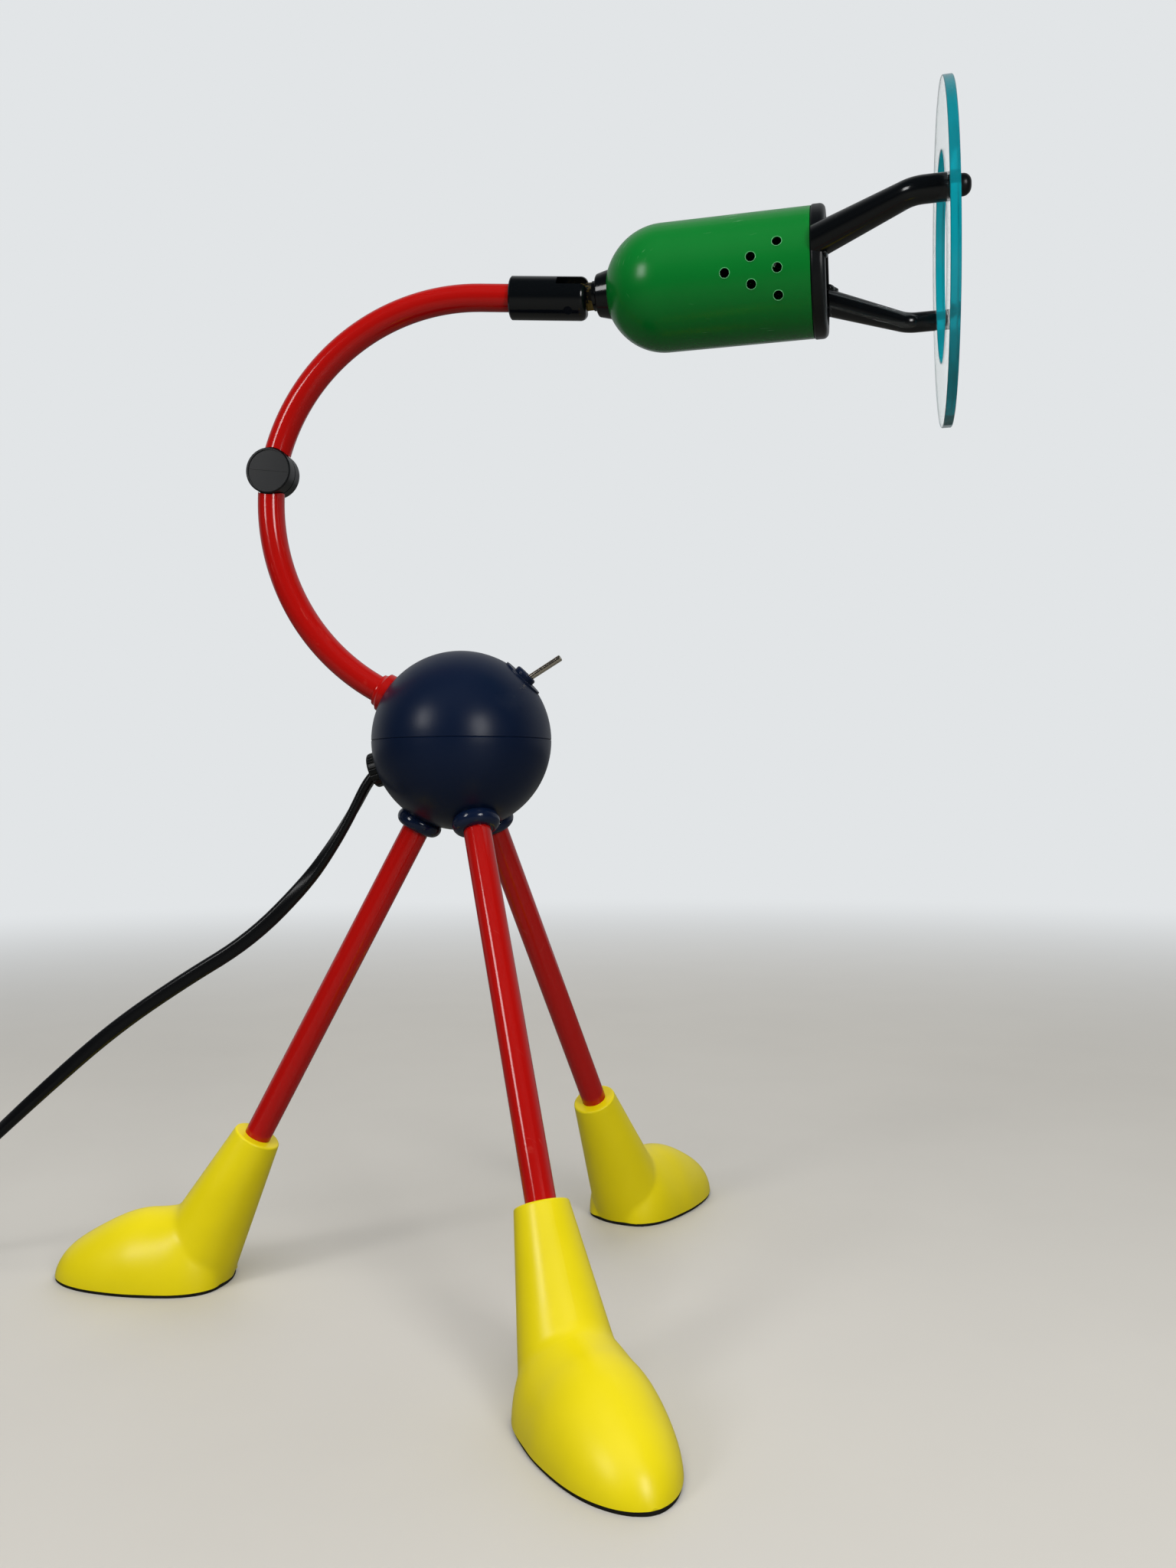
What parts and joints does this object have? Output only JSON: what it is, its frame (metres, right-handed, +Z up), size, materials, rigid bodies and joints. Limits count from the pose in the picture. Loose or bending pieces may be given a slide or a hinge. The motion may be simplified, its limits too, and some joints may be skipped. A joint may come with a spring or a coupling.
{
  "type": "tripod desk lamp",
  "caption": "Playful halogen desk lamp: a ball body on splayed tube legs with shoe-like feet, a jointed C-shaped arm, a cup-shaped head and a glass ring held on prongs.",
  "frame": {"origin": "on the surface the feet stand on, under the middle of the lamp's box without its cord", "axes": "+X from the ball towards the head, +Y away from the viewer, +Z up"},
  "size_m": [0.5941, 0.3372, 0.5096],
  "materials": {
    "navy_plastic": "satin",
    "navy_gloss": "gloss",
    "red_enamel": "gloss",
    "yellow_plastic": "satin",
    "sole_rubber": "matt",
    "black_plastic": "satin",
    "black_enamel": "satin",
    "green_enamel": "satin",
    "float_glass": "polished",
    "aged_brass": "dull",
    "steel": "plain",
    "nickel": "bright",
    "lamination": "varnished",
    "winding_tape": "taped",
    "white_plastic": "matt",
    "reflector_glass": "mirrored",
    "capsule_glass": "clear",
    "cord_pvc": "satin"
  },
  "bodies": {
    "base": {"arm_flange": "red_enamel", "arm_lower_tube": "red_enamel", "arm_root_nut": "steel", "ball_lower_shell": "navy_plastic", "ball_upper_shell": "navy_plastic", "cord_coil": "cord_pvc", "cord_gland": "black_plastic", "cord_lead": "cord_pvc", "cord_tail": "cord_pvc", "cord_tie": "black_plastic", "elbow_near_half": "black_plastic", "elbow_nut": "steel", "elbow_screw": "steel", "elbow_washer": "black_plastic", "foot_front": "yellow_plastic", "foot_left": "yellow_plastic", "foot_rear": "yellow_plastic", "leg_collar_front": "navy_gloss", "leg_collar_left": "navy_gloss", "leg_collar_rear": "navy_gloss", "leg_front": "red_enamel", "leg_left": "red_enamel", "leg_nuts": "steel", "leg_rear": "red_enamel", "plug_body": "black_plastic", "plug_pins": "nickel", "shell_screw": "steel", "sole_pad_front": "sole_rubber", "sole_pad_left": "sole_rubber", "sole_pad_rear": "sole_rubber", "switch_body": "black_plastic", "switch_nut": "navy_plastic", "switch_plate": "navy_plastic", "terminal_block": "white_plastic", "transformer_bracket": "steel", "transformer_core": "lamination", "transformer_winding": "winding_tape"},
    "upper_arm": {"elbow_far_half": "black_plastic", "arm_upper_tube": "red_enamel"},
    "swivel": {"swivel_barrel": "black_enamel", "barrel_grub_screw": "steel", "swivel_pin": "black_enamel"},
    "head": {"swivel_tongue": "aged_brass", "swivel_step_ring": "black_enamel", "swivel_cone_washer": "black_enamel", "lamp_cup": "green_enamel", "stem_nuts": "steel", "lampholder_strap": "steel", "lampholder": "white_plastic", "bulb_reflector": "reflector_glass", "bulb_capsule": "capsule_glass", "bulb_pins": "steel", "front_ring": "black_plastic", "prong_near": "black_enamel", "prong_far": "black_enamel", "glass_ring": "float_glass", "glass_screws": "steel", "glass_cap_nuts": "black_plastic"},
    "switch": {"switch_lever": "nickel"}
  },
  "joints": [
    {"name": "elbow", "type": "hinge", "parent": "base", "child": "upper_arm", "pos_m": [-0.102, 0, 0.368], "axis": [0, -1, 0], "range_deg": [-28, 75]},
    {"name": "barrel_turn", "type": "hinge", "parent": "upper_arm", "child": "swivel", "pos_m": [0.03555, 0, 0.44041], "axis": [0.9978, 0, -0.0663], "range_deg": [-160, 160]},
    {"name": "head_tilt", "type": "hinge", "parent": "swivel", "child": "head", "pos_m": [0.03555, 0, 0.44041], "axis": [-0.0528, -0.6046, -0.7948], "range_deg": [-80, 70]},
    {"name": "switch_toggle", "type": "hinge", "parent": "base", "child": "switch", "pos_m": [0.00779, 0, 0.26747], "axis": [0, -1, 0], "range_deg": [0, 25.6]}
  ]
}
